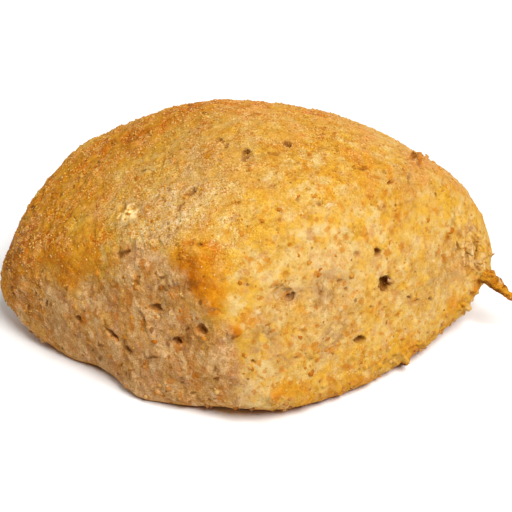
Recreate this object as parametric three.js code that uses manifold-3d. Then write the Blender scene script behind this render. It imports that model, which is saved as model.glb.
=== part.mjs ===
// Whole grain bun: one square-cut piece of dough, baked into a low domed pillow.
// Two bulging cut sides meet in a rounded ridge at the front, the left shoulder slopes down to a blunt tip,
// and the right tip runs out into a thin twisted tail of dough. The base is flat, as it lay on the tray.
// Millimetres, +Z up. The origin is on the tray, under the middle of the bun's box.

import * as THREE from 'three';
import { ImprovedNoise } from 'three/addons/math/ImprovedNoise.js';
import { mergeVertices } from 'three/addons/utils/BufferGeometryUtils.js';
import Module from 'manifold-3d';

// Risen dough before it was cut: a dome over its waist, and a shorter, tucked-in lower half
const DOME = {
  centre: [-1.4, 0.7],
  halfLength: 61,
  halfWidth: 44.5,
  waistHeight: 15.8,
  riseAboveWaist: 36.2,
  fallBelowWaist: 23.6,
  planRoundness: 1.9,
  sideRoundness: 1.78,
  gaugeLength: 38.5,
};

// Sides cut or pressed off the dome. Bearing counts anticlockwise from +X, lean tips the side up to the sky
const SIDES = [
  { name: 'left front', bearing: 240, distance: 32.8, lean: -4.5, crag: 1 },
  { name: 'right front', bearing: 300.5, distance: 35, lean: 7.5, crag: 0.45 },
  { name: 'right back', bearing: 45.5, distance: 55, lean: 16, crag: 0.5 },
  { name: 'left back', bearing: 128, distance: 50.5, lean: 10, crag: 0.6 },
  { name: 'left tip', bearing: 167.5, distance: 54.6, lean: 13.7, crag: 0.5 },
  { name: 'left shoulder', bearing: 194.5, distance: 47.4, lean: 59.5, crag: 0.3 },
];
const SIDE_BULGE_RADIUS = 154;
const EDGE_SOFTNESS = 1.5;

// Hand-shaped dough: places where the crust bulges out or tucks in, each fading out over the reach
const LUMPS = [
  { name: 'tuck under the right tip', bearing: 349, climb: -17, height: -0.6 },
  { name: 'tuck under the right side', bearing: 333, climb: -23, height: -0.7 },
  { name: 'tuck under the ridge', bearing: 267, climb: -24, height: -1.5 },
  { name: 'tuck beside it', bearing: 249, climb: -29, height: -0.4 },
  { name: 'lip under the left side', bearing: 232, climb: -28, height: 0.8 },
  { name: 'notch behind the lip', bearing: 211, climb: -25, height: -2.3 },
  { name: 'tuck under the left tip', bearing: 189, climb: -21, height: -0.4 },
  { name: 'rise behind the left shoulder', bearing: 147, climb: 22, height: 0.5 },
  { name: 'dent behind the crown', bearing: 132, climb: 32, height: -0.7 },
  { name: 'dent above the right tip', bearing: 20, climb: 28, height: -0.8 },
];
const LUMP_REACH = 8.5;

// Uneven crust: soft swells all over, and crags where the crumb was cut or torn
const SWELL = { size: 17, height: 0.4 };
const CRAG = { size: 6.5, height: 1 };
const CRUST_CRAG = 0.3;

// The heart is the point inside the bun that spots on the crust are sighted from
const HEART = new THREE.Vector3(0, 0, 17.4);
const SIGHT_REACH = 90;
const SIGHT_STEPS = 40;
const CRUST_DETAIL = 18;

// Open pores: where they sit, their mouth, and the turn of the mouth from level
const PORES = [
  { name: 'large right pore', bearing: 331, climb: 10, length: 3.6, width: 2.6, depth: 2.6, turn: 70 },
  { name: 'small pore above it', bearing: 331.5, climb: 22, length: 2.1, width: 1.6, depth: 1.5, turn: 80 },
  { name: 'small pore beside it', bearing: 323, climb: 25.5, length: 1.8, width: 1.4, depth: 1, turn: 0 },
  { name: 'low right pore', bearing: 317.5, climb: -5.5, length: 2.8, width: 1.8, depth: 1.4, turn: 10 },
  { name: 'right dish', bearing: 288.5, climb: 20, length: 6.6, width: 4.6, depth: 0.9, turn: 20 },
  { name: 'pore in the dish', bearing: 291.5, climb: 20, length: 2.7, width: 2, depth: 2, turn: 60 },
  { name: 'pore by the ridge', bearing: 258, climb: 10.5, length: 3.4, width: 2.6, depth: 1.4, turn: 0 },
  { name: 'slanted left pore', bearing: 248.5, climb: 3.5, length: 3, width: 1.8, depth: 1.7, turn: -30 },
  { name: 'torn left hollow', bearing: 239.5, climb: 14, length: 4.6, width: 3.4, depth: 1.2, turn: 30 },
  { name: 'long left slit', bearing: 224, climb: -5.5, length: 8, width: 1.6, depth: 1.3, turn: -32 },
  { name: 'low left hollow', bearing: 206.5, climb: -3.5, length: 2.6, width: 1.8, depth: 1.2, turn: 0 },
  { name: 'brow hollow', bearing: 223, climb: 28, length: 3.6, width: 2.4, depth: 0.9, turn: 10 },
  { name: 'crown pit', bearing: 281, climb: 75, length: 3.8, width: 2.4, depth: 1.3, turn: 60 },
  { name: 'crown pit, left', bearing: 213, climb: 81, length: 2.4, width: 1.8, depth: 0.9, turn: 0 },
  { name: 'crown pit, right', bearing: 323, climb: 71, length: 4.2, width: 1.8, depth: 1, turn: 25 },
  { name: 'shoulder pit', bearing: 239.5, climb: 53, length: 3.4, width: 2, depth: 0.8, turn: 40 },
  { name: 'right crown pit', bearing: 348, climb: 38, length: 3, width: 2, depth: 0.9, turn: 20 },
];
const PORE_SIDES = 10;
const PORE_RINGS = 6;

// Bits of dough baked on: those that break the outline, then a seeded scatter round the lower edge
const CRUMBS = [
  { name: 'crumb on the top edge', bearing: 8, climb: 31.5, length: 2.6, width: 2, height: 1.6 },
  { name: 'crumb beside it', bearing: 5, climb: 30, length: 1.4, width: 1.2, height: 0.9 },
  { name: 'crumb on the near corner', bearing: 282, climb: -14, length: 3.4, width: 2.6, height: 1.6 },
  { name: 'crumb on the ridge', bearing: 269, climb: 10, length: 3, width: 2.2, height: 1 },
  { name: 'crumb on the right tip', bearing: 5, climb: 0, length: 2.4, width: 1.8, height: 1.2 },
  { name: 'crumb below the tail', bearing: 359, climb: -8, length: 2.2, width: 1.6, height: 1.1 },
  { name: 'low crumb, right side', bearing: 341, climb: -15.5, length: 2.6, width: 1.8, height: 1.3 },
];
const EDGE_CRUMBS = {
  count: 22,
  seed: 41,
  climb: [-19, -6],
  length: [1.4, 2.6],
  widthShare: [0.6, 0.9],
  heightShare: [0.3, 0.5],
};
const CRUMB_SINK = 0.25;

// Tail of stretched dough at the right tip, and the pleats that the stretching left at its root.
// A pleat runs over the crust through spots given as bearing and climb
const STRAND = { steps: 14, sides: 8, flatness: 0.7, turnsPerStrand: 0.5 };
const TAIL = {
  route: [
    [48, 1, 17.5],
    [51.8, 0.8, 15.4],
    [54, 0.6, 13.8],
    [56, 0, 12.9],
    [57.3, -0.4, 11.6],
    [58.6, -0.8, 10.5],
    [60, -1.2, 9.3],
    [61.2, -1.6, 8.2],
  ],
  rootThickness: 4.6,
  bendThickness: 3.3,
  endThickness: 1.2,
};
const PLEATS = [
  { route: [[357, 10], [358.6, 6], [359, 2], [0.5, -3]], thickness: 1.9 },
  { route: [[0.2, 10], [0.8, 6], [0.7, 1.5], [1.5, -3]], thickness: 1.8 },
  { route: [[3.2, 9], [2.6, 4.5], [2.1, 1], [2.2, -3.5]], thickness: 1.9 },
  { route: [[349, -11], [353, -8], [357, -6], [1, -4]], thickness: 2.6 },
];
const PLEAT_SINK = 0.2;
const PLEAT_END_THICKNESS = 0.45;

const TRAY_CUT = { span: 220, depth: 60 };
const SHORTEST_EDGE = 0.04;
const WELD_DISTANCE = 1e-4;
const CRUST_COLOUR = 0xd9a455;
const CRUST_ROUGHNESS = 0.8;

let lumps = [];
const noise = new ImprovedNoise();
const wasm = await Module();
wasm.setup();

// Outward direction of a bearing and a climb above the level
function direction(bearing, climb) {
  const turn = THREE.MathUtils.degToRad(bearing);
  const rise = THREE.MathUtils.degToRad(climb);
  return new THREE.Vector3(
    Math.cos(turn) * Math.cos(rise),
    Math.sin(turn) * Math.cos(rise),
    Math.sin(rise),
  );
}

// Each pressed side is a patch of a large ball, so that it bulges a little
const sideBalls = SIDES.map((side) => ({
  crag: side.crag,
  centre: direction(side.bearing, side.lean).multiplyScalar(side.distance - SIDE_BULGE_RADIUS),
}));

function domeDepth(point) {
  const across = Math.abs(point.x - DOME.centre[0]) / DOME.halfLength;
  const deep = Math.abs(point.y - DOME.centre[1]) / DOME.halfWidth;
  const plan = (across ** DOME.planRoundness + deep ** DOME.planRoundness) ** (1 / DOME.planRoundness);
  const lift = point.z - DOME.waistHeight;
  const level = lift > 0 ? lift / DOME.riseAboveWaist : -lift / DOME.fallBelowWaist;
  const power = DOME.sideRoundness;
  return ((plan ** power + level ** power) ** (1 / power) - 1) * DOME.gaugeLength;
}

function swirl(point, size) {
  return noise.noise(point.x / size, point.y / size, point.z / size);
}

// How far the crust stands out at a point: lumps, swells and its share of the crags
function reliefHeight(point, cragShare) {
  let height = SWELL.height * swirl(point, SWELL.size) + cragShare * CRAG.height * swirl(point, CRAG.size);
  for (const lump of lumps) {
    height += lump.height * Math.exp(-point.distanceToSquared(lump.centre) / LUMP_REACH ** 2);
  }
  return height;
}

// Below zero inside the bun: dome and sides meet in soft edges, less the height of the crust's relief
function bunDepth(point) {
  const depths = [domeDepth(point)];
  const crags = [CRUST_CRAG];
  for (const ball of sideBalls) {
    depths.push(point.distanceTo(ball.centre) - SIDE_BULGE_RADIUS);
    crags.push(ball.crag);
  }
  const highest = Math.max(...depths);
  let total = 0;
  let crag = 0;
  depths.forEach((depth, index) => {
    const weight = Math.exp((depth - highest) / EDGE_SOFTNESS);
    total += weight;
    crag += weight * crags[index];
  });
  return highest + EDGE_SOFTNESS * Math.log(total) - reliefHeight(point, crag / total);
}

// The crust seen from the heart along a direction
function crustPoint(sight) {
  let near = 0;
  let far = SIGHT_REACH;
  const point = new THREE.Vector3();
  for (let step = 0; step < SIGHT_STEPS; step += 1) {
    const middle = (near + far) / 2;
    point.copy(HEART).addScaledVector(sight, middle);
    if (bunDepth(point) < 0) {
      near = middle;
    } else {
      far = middle;
    }
  }
  return point;
}

// Lumps sit where their own sights meet the even crust
lumps = LUMPS.map((lump) => ({
  height: lump.height,
  centre: crustPoint(direction(lump.bearing, lump.climb)),
}));

function crustNormal(point) {
  const reach = 1;
  const normal = new THREE.Vector3();
  for (const axis of ['x', 'y', 'z']) {
    const ahead = point.clone();
    const behind = point.clone();
    ahead[axis] += reach;
    behind[axis] -= reach;
    normal[axis] = bunDepth(ahead) - bunDepth(behind);
  }
  return normal.normalize();
}

// A closed three.js geometry as a solid that can be joined and cut
function toSolid(geometry) {
  const bare = geometry.clone();
  bare.deleteAttribute('normal');
  bare.deleteAttribute('uv');
  const merged = mergeVertices(bare, WELD_DISTANCE);
  const corners = merged.index.array;
  const kept = [];
  for (let at = 0; at < corners.length; at += 3) {
    const [a, b, c] = [corners[at], corners[at + 1], corners[at + 2]];
    if (a !== b && b !== c && c !== a) {
      kept.push(a, b, c);
    }
  }
  const mesh = new wasm.Mesh({
    numProp: 3,
    vertProperties: new Float32Array(merged.attributes.position.array),
    triVerts: new Uint32Array(kept),
  });
  return new wasm.Manifold(mesh);
}

function toGeometry(solid) {
  const mesh = solid.getMesh();
  const geometry = new THREE.BufferGeometry();
  geometry.setAttribute('position', new THREE.BufferAttribute(new Float32Array(mesh.vertProperties), 3));
  geometry.setIndex(new THREE.BufferAttribute(new Uint32Array(mesh.triVerts), 1));
  return geometry;
}

// The outer skin alone: hollows that the joining sealed are filled, and loose scraps are dropped
function largestPiece(solid) {
  const pieces = solid.decompose();
  return pieces.reduce((best, piece) => (piece.volume() > best.volume() ? piece : best));
}

function doughBody() {
  const ball = new THREE.IcosahedronGeometry(1, CRUST_DETAIL);
  const spots = ball.attributes.position;
  const sight = new THREE.Vector3();
  for (let at = 0; at < spots.count; at += 1) {
    const point = crustPoint(sight.fromBufferAttribute(spots, at).normalize());
    spots.setXYZ(at, point.x, point.y, point.z);
  }
  return toSolid(ball);
}

// Sets a geometry on the crust, its Z along the crust's normal and its X turned from level
function setOnCrust(geometry, spot, sink) {
  const point = crustPoint(direction(spot.bearing, spot.climb));
  const outward = crustNormal(point);
  const levelWay = new THREE.Vector3(-Math.sin(THREE.MathUtils.degToRad(spot.bearing)),
    Math.cos(THREE.MathUtils.degToRad(spot.bearing)), 0);
  const slope = new THREE.Vector3().crossVectors(outward, levelWay).normalize();
  const along = new THREE.Vector3().crossVectors(slope, outward);
  along.applyAxisAngle(outward, THREE.MathUtils.degToRad(spot.turn ?? 0));
  const beside = new THREE.Vector3().crossVectors(outward, along);
  const place = new THREE.Matrix4().makeBasis(along, beside, outward);
  place.setPosition(point.addScaledVector(outward, -sink));
  return geometry.applyMatrix4(place);
}

function pore(spot) {
  const hollow = new THREE.SphereGeometry(1, PORE_SIDES, PORE_RINGS);
  hollow.scale(spot.length / 2, spot.width / 2, spot.depth);
  return toSolid(setOnCrust(hollow, spot, 0));
}

function crumb(spot) {
  const bit = new THREE.IcosahedronGeometry(1, 0);
  bit.scale(spot.length / 2, spot.width / 2, spot.height);
  return toSolid(setOnCrust(bit, spot, spot.height * CRUMB_SINK));
}

// A small repeatable random source, from 0 up to 1
function seededRandom(seed) {
  let state = seed;
  return () => {
    state = (state * 16807) % 2147483647;
    return state / 2147483647;
  };
}

function edgeCrumbs() {
  const random = seededRandom(EDGE_CRUMBS.seed);
  const between = ([low, high]) => low + (high - low) * random();
  const spots = [];
  for (let index = 0; index < EDGE_CRUMBS.count; index += 1) {
    const length = between(EDGE_CRUMBS.length);
    spots.push({
      bearing: (360 * (index + random())) / EDGE_CRUMBS.count,
      climb: between(EDGE_CRUMBS.climb),
      length,
      width: length * between(EDGE_CRUMBS.widthShare),
      height: length * between(EDGE_CRUMBS.heightShare),
      turn: between([0, 180]),
    });
  }
  return spots;
}

// A pulled strand of dough: a turned spindle, pressed a little flat, twisted and bent along a route
function strand(route, thicknessAt) {
  const curve = new THREE.CatmullRomCurve3(route);
  const frames = curve.computeFrenetFrames(STRAND.steps);
  const profile = [];
  for (let step = 0; step <= STRAND.steps; step += 1) {
    const along = step / STRAND.steps;
    const isEnd = step === 0 || step === STRAND.steps;
    profile.push(new THREE.Vector2(isEnd ? 0 : thicknessAt(along) / 2, step));
  }
  const spindle = new THREE.LatheGeometry(profile, STRAND.sides);
  const spots = spindle.attributes.position;
  for (let at = 0; at < spots.count; at += 1) {
    const step = Math.round(spots.getY(at));
    const along = step / STRAND.steps;
    const turn = along * STRAND.turnsPerStrand * 2 * Math.PI;
    const wide = spots.getX(at);
    const flat = spots.getZ(at) * STRAND.flatness;
    const sideways = wide * Math.cos(turn) - flat * Math.sin(turn);
    const upward = wide * Math.sin(turn) + flat * Math.cos(turn);
    const point = curve.getPointAt(along);
    point.addScaledVector(frames.normals[step], sideways);
    point.addScaledVector(frames.binormals[step], -upward);
    spots.setXYZ(at, point.x, point.y, point.z);
  }
  return toSolid(spindle);
}

function tail() {
  const route = TAIL.route.map((place) => new THREE.Vector3(...place));
  const thicknessAt = (along) => (along < 0.5
    ? THREE.MathUtils.lerp(TAIL.rootThickness, TAIL.bendThickness, along * 2)
    : THREE.MathUtils.lerp(TAIL.bendThickness, TAIL.endThickness, along * 2 - 1));
  return strand(route, thicknessAt);
}

function pleat(fold) {
  const route = fold.route.map(([bearing, climb]) => {
    const sight = direction(bearing, climb);
    return crustPoint(sight).addScaledVector(sight, -fold.thickness * PLEAT_SINK);
  });
  const thicknessAt = (along) => fold.thickness
    * THREE.MathUtils.lerp(PLEAT_END_THICKNESS, 1, Math.sin(Math.PI * along));
  return strand(route, thicknessAt);
}

function bunSolid() {
  let dough = doughBody().add(tail());
  for (const fold of PLEATS) {
    dough = dough.add(pleat(fold));
  }
  for (const spot of [...CRUMBS, ...edgeCrumbs()]) {
    dough = dough.add(crumb(spot));
  }
  for (const spot of PORES) {
    dough = dough.subtract(pore(spot));
  }
  const tray = new THREE.BoxGeometry(TRAY_CUT.span, TRAY_CUT.span, TRAY_CUT.depth);
  tray.translate(0, 0, -TRAY_CUT.depth / 2);
  return largestPiece(dough.subtract(toSolid(tray))).simplify(SHORTEST_EDGE);
}

const crust = new THREE.MeshStandardMaterial({
  color: CRUST_COLOUR,
  roughness: CRUST_ROUGHNESS,
  metalness: 0,
});
const bunGeometry = toGeometry(bunSolid());
bunGeometry.computeVertexNormals();
bunGeometry.computeBoundingBox();

const bun = new THREE.Mesh(bunGeometry, crust);
bun.name = 'bun';
const middle = bunGeometry.boundingBox.getCenter(new THREE.Vector3());
bun.position.set(-middle.x, -middle.y, 0);

const wholeGrainBun = new THREE.Group();
wholeGrainBun.add(bun);

export default wholeGrainBun;
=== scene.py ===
import math

import bmesh
import bpy
import numpy as np
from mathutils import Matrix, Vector, noise
from mathutils.bvhtree import BVHTree


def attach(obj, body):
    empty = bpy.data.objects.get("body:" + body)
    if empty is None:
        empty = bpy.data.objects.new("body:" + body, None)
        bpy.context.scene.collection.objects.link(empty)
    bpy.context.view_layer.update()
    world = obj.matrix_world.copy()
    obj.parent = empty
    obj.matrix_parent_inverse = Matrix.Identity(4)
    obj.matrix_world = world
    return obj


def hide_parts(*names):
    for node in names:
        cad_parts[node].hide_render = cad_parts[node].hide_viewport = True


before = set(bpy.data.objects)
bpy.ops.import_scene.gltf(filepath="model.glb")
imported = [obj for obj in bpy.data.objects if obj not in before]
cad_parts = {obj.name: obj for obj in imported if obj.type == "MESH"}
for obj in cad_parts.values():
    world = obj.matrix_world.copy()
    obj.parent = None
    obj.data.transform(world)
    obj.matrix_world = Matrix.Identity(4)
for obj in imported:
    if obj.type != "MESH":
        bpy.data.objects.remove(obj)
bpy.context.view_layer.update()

mm = 0.001


# Node trees: a wire is one socket with arithmetic, a board adds the nodes
def operator(operation):            # the plain and the reflected form, as in mask - 1 and 1 - mask
    def plain(self, other):
        return self.board.maths(operation, self, other)

    def reflected(self, other):
        return self.board.maths(operation, other, self)

    return plain, reflected


class Wire:
    def __init__(self, board, socket):
        self.board = board
        self.socket = socket

    __add__, __radd__ = operator("ADD")
    __sub__, __rsub__ = operator("SUBTRACT")
    __mul__, __rmul__ = operator("MULTIPLY")
    __truediv__, __rtruediv__ = operator("DIVIDE")
    __pow__, __rpow__ = operator("POWER")

    def most(self, other):
        return self.board.maths("MAXIMUM", self, other)

    def ease(self, low, high):      # soft step from 0 at low to 1 at high, either way round
        if low > high:
            return 1 - self.ease(high, low)
        sockets = {"Value": self, "From Min": low, "From Max": high}
        return self.board.add("ShaderNodeMapRange", {"interpolation_type": "SMOOTHSTEP"}, sockets)


class Board:
    def __init__(self, tree):
        self.tree = tree

    def add(self, kind, settings=None, sockets=None, out=None):
        node = self.tree.nodes.new(kind)
        for name, value in (settings or {}).items():
            if name == "stops":
                self.setStops(node.color_ramp, value)
            else:
                setattr(node, name, value)
        for name, value in (sockets or {}).items():
            self.feed(self.pick(node.inputs, name), value)
        if not node.outputs:
            return node
        return Wire(self, self.pick(node.outputs, out))

    def pick(self, sockets, name):
        live = [s for s in sockets if s.enabled]
        if name is None:
            return live[0]
        return next(s for s in live if s.name == name or s.identifier == name)

    def feed(self, socket, value):
        if isinstance(value, Wire):
            self.tree.links.new(value.socket, socket)
        else:
            socket.default_value = value

    def setStops(self, ramp, stops):
        while len(ramp.elements) < len(stops):
            ramp.elements.new(0.5)
        for element, (place, colour) in zip(ramp.elements, stops):
            element.position = place
            element.color = colour

    def maths(self, operation, first, second):
        node = self.tree.nodes.new("ShaderNodeMath")
        node.operation = operation
        self.feed(node.inputs[0], first)
        self.feed(node.inputs[1], second)
        return Wire(self, node.outputs[0])

    def mix(self, share, first, second, blend="MIX"):
        settings = {"data_type": "RGBA", "blend_type": blend}
        return self.add("ShaderNodeMix", settings, {"Factor": share, "A": first, "B": second}, "Result")

    def named(self, name):          # a mask that the mesh carries
        if self.tree.type == "SHADER":
            return self.add("ShaderNodeAttribute", {"attribute_name": name}, None, "Fac")
        settings = {"data_type": "FLOAT"}
        return self.add("GeometryNodeInputNamedAttribute", settings, {"Name": name}, "Attribute")

    def grainNoise(self, place, size, detail=2.0, roughness=0.5):
        sockets = {"Vector": place, "Scale": 1 / size, "Detail": detail, "Roughness": roughness}
        return self.add("ShaderNodeTexNoise", None, sockets, "Fac")


def srgb(red, green, blue):         # 0 to 255 as seen, to the linear colour that nodes take
    shares = [c / 255 for c in (red, green, blue)]
    return tuple(c / 12.92 if c < 0.04045 else ((c + 0.055) / 1.055) ** 2.4 for c in shares) + (1.0,)


lightLevel = 1.5                    # light on the near sides against a white sheet in the photo


def seen(red, green, blue):         # base colour of what looks like this in the photo's light
    return tuple(c / lightLevel for c in srgb(red, green, blue)[:3]) + (1.0,)


def newMaterial(name):
    material = bpy.data.materials.new(name)
    material.use_nodes = True
    material.node_tree.nodes.clear()
    return material, Board(material.node_tree)


def closeMaterial(board, surface):  # surface: the Principled sockets
    shader = board.add("ShaderNodeBsdfPrincipled", None, surface, "BSDF")
    board.add("ShaderNodeOutputMaterial", None, {"Surface": shader})


# Camera, as the photo was taken: long lens, looking down on the near corner
photoView = {
    "imageSize": 512,
    "lens": 120.0,
    "sensor": 36.0,
    "lookDown": 33.33,              # degrees
    "distance": 369.4 * mm,
    "aim": (-0.32 * mm, -6.49 * mm, 20.57 * mm),
    "clip": (0.01, 20.0),
}
pixelSize = photoView["distance"] * photoView["sensor"] / photoView["lens"] / photoView["imageSize"]
middlePixel = photoView["imageSize"] / 2
focalPixels = photoView["imageSize"] * photoView["lens"] / photoView["sensor"]


def viewAxes(view):                 # eye, forward, right and upward of the photo
    tilt = math.radians(view["lookDown"])
    forward = np.array((0, math.cos(tilt), -math.sin(tilt)))
    upward = np.array((0, math.sin(tilt), math.cos(tilt)))
    eye = np.array(view["aim"]) - forward * view["distance"]
    return eye, forward, np.array((1.0, 0, 0)), upward


def setCamera(view):
    camera = bpy.data.cameras.new("photo_camera")
    camera.lens = view["lens"]
    camera.sensor_width = view["sensor"]
    camera.clip_start, camera.clip_end = view["clip"]
    holder = place("photo_camera", camera)
    holder.location = viewAxes(view)[0]
    holder.rotation_euler = (math.radians(90 - view["lookDown"]), 0, 0)
    bpy.context.scene.camera = holder


def photoRay(view, pixel):
    eye, forward, right, upward = viewAxes(view)
    way = forward * focalPixels + right * (pixel[0] - middlePixel) - upward * (pixel[1] - middlePixel)
    return Vector(eye), Vector(way).normalized()


def photoPixels(view, spots):       # where points of the crust show in the photo
    eye, forward, right, upward = viewAxes(view)
    away = spots - eye
    deep = away @ forward
    across = middlePixel + focalPixels * (away @ right) / deep
    down = middlePixel - focalPixels * (away @ upward) / deep
    return np.stack((across, down), 1)


def place(name, data):              # an object for a mesh, lamp or camera
    holder = bpy.data.objects.new(name, data)
    bpy.context.scene.collection.objects.link(holder)
    return holder


setCamera(photoView)
print("camera set, pixel", pixelSize)


# Crust body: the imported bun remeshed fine, its facets eased away, its crumbs, pleats and tail kept
bunBody = {
    "node": "bun",
    "weld": 0.001 * mm,
    "voxel": 0.62 * mm,
    "facetPasses": 16,
    "edgePasses": 2,
    "keepFrom": 0.10 * mm,          # relief over this is a crumb, pleat or the tail
    "keepFull": 0.28 * mm,
    "tipFrom": 45 * mm,             # past here hollows are kept too
    "tipFade": 2 * mm,
    "raised": (0.15 * mm, 0.6 * mm),
    "groove": (0.05 * mm, 0.35 * mm),
}


def toMesh(holder):                 # evaluated result as a plain mesh
    view = bpy.context.evaluated_depsgraph_get()
    return bpy.data.meshes.new_from_object(holder.evaluated_get(view))


def corners(mesh):
    spots = np.empty(len(mesh.vertices) * 3, np.float32)
    mesh.vertices.foreach_get("co", spots)
    return spots.reshape(-1, 3).astype(float)


def moveCorners(mesh, spots):
    spots[:, 2] = np.maximum(spots[:, 2], 0)
    mesh.vertices.foreach_set("co", spots.ravel())
    mesh.update()


def normals(mesh):
    ways = np.empty(len(mesh.vertices) * 3, np.float32)
    mesh.vertex_normals.foreach_get("vector", ways)
    return ways.reshape(-1, 3).astype(float)


def edgeList(mesh):
    pairs = np.empty(len(mesh.edges) * 2, np.int32)
    mesh.edges.foreach_get("vertices", pairs)
    return pairs.reshape(-1, 2)


def eased(values, edges, passes, pull=0.6):     # plain neighbour averaging
    count = len(values)
    degree = np.bincount(edges.ravel(), minlength=count)[:, None]
    for _ in range(passes):
        total = np.zeros_like(values)
        for axis in range(values.shape[1]):
            total[:, axis] = np.bincount(edges[:, 0], values[edges[:, 1], axis], count)
            total[:, axis] += np.bincount(edges[:, 1], values[edges[:, 0], axis], count)
        values = (1 - pull) * values + pull * total / degree
    return values


def easedNormals(mesh, passes):
    ways = eased(normals(mesh), edgeList(mesh), passes)
    return ways / np.linalg.norm(ways, axis=1)[:, None]


def step(values, low, high):        # soft step, as in the node trees
    share = np.clip((values - low) / (high - low), 0, 1)
    return share * share * (3 - 2 * share)


def carry(mesh, name, values):      # keeps a mask on the mesh for the node trees
    layer = mesh.attributes.get(name) or mesh.attributes.new(name, "FLOAT", "POINT")
    layer.data.foreach_set("value", values.astype(np.float32))


def carried(mesh, name):
    values = np.empty(len(mesh.vertices), np.float32)
    mesh.attributes[name].data.foreach_get("value", values)
    return values.astype(float)


def doughBody(body):
    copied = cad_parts[body["node"]].data.copy()
    merge = bmesh.new()
    merge.from_mesh(copied)
    bmesh.ops.remove_doubles(merge, verts=merge.verts, dist=body["weld"])
    merge.to_mesh(copied)
    merge.free()
    rough = place("rough_dough", copied)
    remesh = rough.modifiers.new("fine", "REMESH")
    remesh.mode = "VOXEL"
    remesh.voxel_size = body["voxel"]
    mesh = toMesh(rough)
    bpy.data.objects.remove(rough)
    edges = edgeList(mesh)
    raw = corners(mesh)
    smooth = eased(raw, edges, body["facetPasses"])
    detail = eased(raw, edges, body["edgePasses"])
    moveCorners(mesh, smooth.copy())
    lift = np.einsum("ij,ij->i", raw - smooth, normals(mesh))
    tip = step(raw[:, 0], body["tipFrom"], body["tipFrom"] + body["tipFade"])
    height = np.where(lift > 0, lift, -lift * tip)
    height = eased(height[:, None], edges, body["edgePasses"])
    keep = step(height, body["keepFrom"], body["keepFull"])
    moveCorners(mesh, smooth + keep * (detail - smooth))
    carry(mesh, "raised", step(lift, *body["raised"]))
    # grooves at the tip, later darkened as painted shade
    carry(mesh, "groove", tip * step(-lift, *body["groove"]))
    return mesh


bunMesh = doughBody(bunBody)
print("dough body", len(bunMesh.vertices), "vertices")


def at(pixel, size, turn=0, **more):    # a mark where the photo shows it
    return dict(pixel=pixel, size=size, turn=turn, **more)


# Open pores and tears. Size is the length and width of the mouth in pixels, turn is from level in degrees,
# depth in millimetres, and dark is how much painted shade darkens it inside
pores = {
    "large right pore": at((385, 284), (17, 12.5), 75, depth=2.6, dark=1.0),
    "small pore above it": at((377.5, 252.5), (8.5, 7), 90, depth=1.5, dark=1.0),
    "brown pit beside it": at((357, 254), (7, 6), depth=0.4, dark=0.6),
    "low right pore": at((360, 339), (12, 7), 10, depth=1.5, dark=0.9),
    "right dish": at((281, 294), (27, 20), -15, depth=0.7, dark=0.15),
    "pore in the dish": at((292, 297), (11, 7), 60, depth=0.85, dark=0.7),
    "pore by the ridge": at((201.5, 330), (13, 11), -30, depth=0.8, dark=0.6),
    "slanted left pore": at((177.5, 341), (12, 7), -25, depth=1.1, dark=0.8),
    "low left hollow": at((78, 318), (7.5, 7.5), depth=0.9, dark=1.0),
    "left slit, upper": at((112, 334.5), (22, 4.2), -42, depth=0.8, dark=0.95),
    "left slit, lower": at((127.5, 350.5), (12, 6), -35, depth=1.0, dark=0.95),
    "torn left hollow": at((156, 307), (14, 10), depth=0.7, dark=0.55),
    "upright tear": at((142, 318), (20, 3.6), -72, depth=0.5, dark=0.6),
    "brow tear": at((123.5, 253), (17, 6), 15, depth=0.5, dark=0.7),
    "tear below the brow": at((137, 281), (14, 8), 80, depth=0.5, dark=0.5),
    "brow speck": at((199, 244), (7, 3.5), 10, depth=0.5, dark=0.9),
    "crown pit": at((246, 153), (14, 8), 78, depth=0.3, dark=0.5),
    "crown pit, core": at((246, 150.5), (6.5, 5), depth=1.0, dark=1.0),
    "crown pit, under it": at((244, 160), (8, 5), 30, depth=0.35, dark=0.6),
    "crown pit, left": at((218.5, 140), (8, 4), depth=0.9, dark=1.0),
    "crown pit, beside": at((227, 144), (6, 5), 60, depth=0.35, dark=0.8),
    "crown pit, right": at((287.5, 144), (9, 6.5), -30, depth=1.2, dark=1.0),
    "crown pit, low": at((275, 153), (15, 5), depth=0.45, dark=0.7),
    "shoulder pit": at((190, 191), (15, 8), 40, depth=0.6, dark=0.65),
    "shoulder pit, low": at((180, 206), (11, 6), 50, depth=0.55, dark=0.7),
    "right crown pit": at((391, 181), (8, 5), 10, depth=0.6, dark=0.7),
    "right crown streak": at((364, 168), (12, 5), 10, depth=0.4, dark=0.6),
    "crown speck": at((319, 204), (5, 5), depth=0.4, dark=0.7),
    "hole row, first": at((409, 298), (6, 3), -10, depth=0.6, dark=0.9),
    "hole row, second": at((418, 300), (7, 3), depth=0.6, dark=0.9),
    "hole row, third": at((430, 299), (6, 3.4), 10, depth=0.6, dark=0.9),
    "face speck, a": at((321, 294), (5, 4), depth=0.5, dark=0.9),
    "face speck, b": at((346, 289), (5, 4), depth=0.5, dark=0.9),
    "face speck, c": at((340, 281), (7, 3.4), depth=0.5, dark=0.8),
    "face speck, d": at((371.5, 307), (5, 4), 30, depth=0.5, dark=0.9),
    "low ridge pore": at((253, 362), (6, 5), depth=0.7, dark=0.6),
    "tip groove": at((476.5, 251), (34, 3.4), -86, depth=0.45, dark=0.45),
    "tip groove, left": at((467.5, 258), (18, 2.8), -82, depth=0.3, dark=0.3),
    "tip groove, outer": at((457.5, 245), (14, 2.8), -75, depth=0.3, dark=0.35),
    "tip hollow": at((478, 268), (7, 5), -30, depth=0.6, dark=0.9),
    "tip mark": at((449, 237), (9, 4), -50, depth=0.3, dark=0.5),
    "tip mark, high": at((454, 222), (10, 3), -60, depth=0.25, dark=0.5),
}
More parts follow.
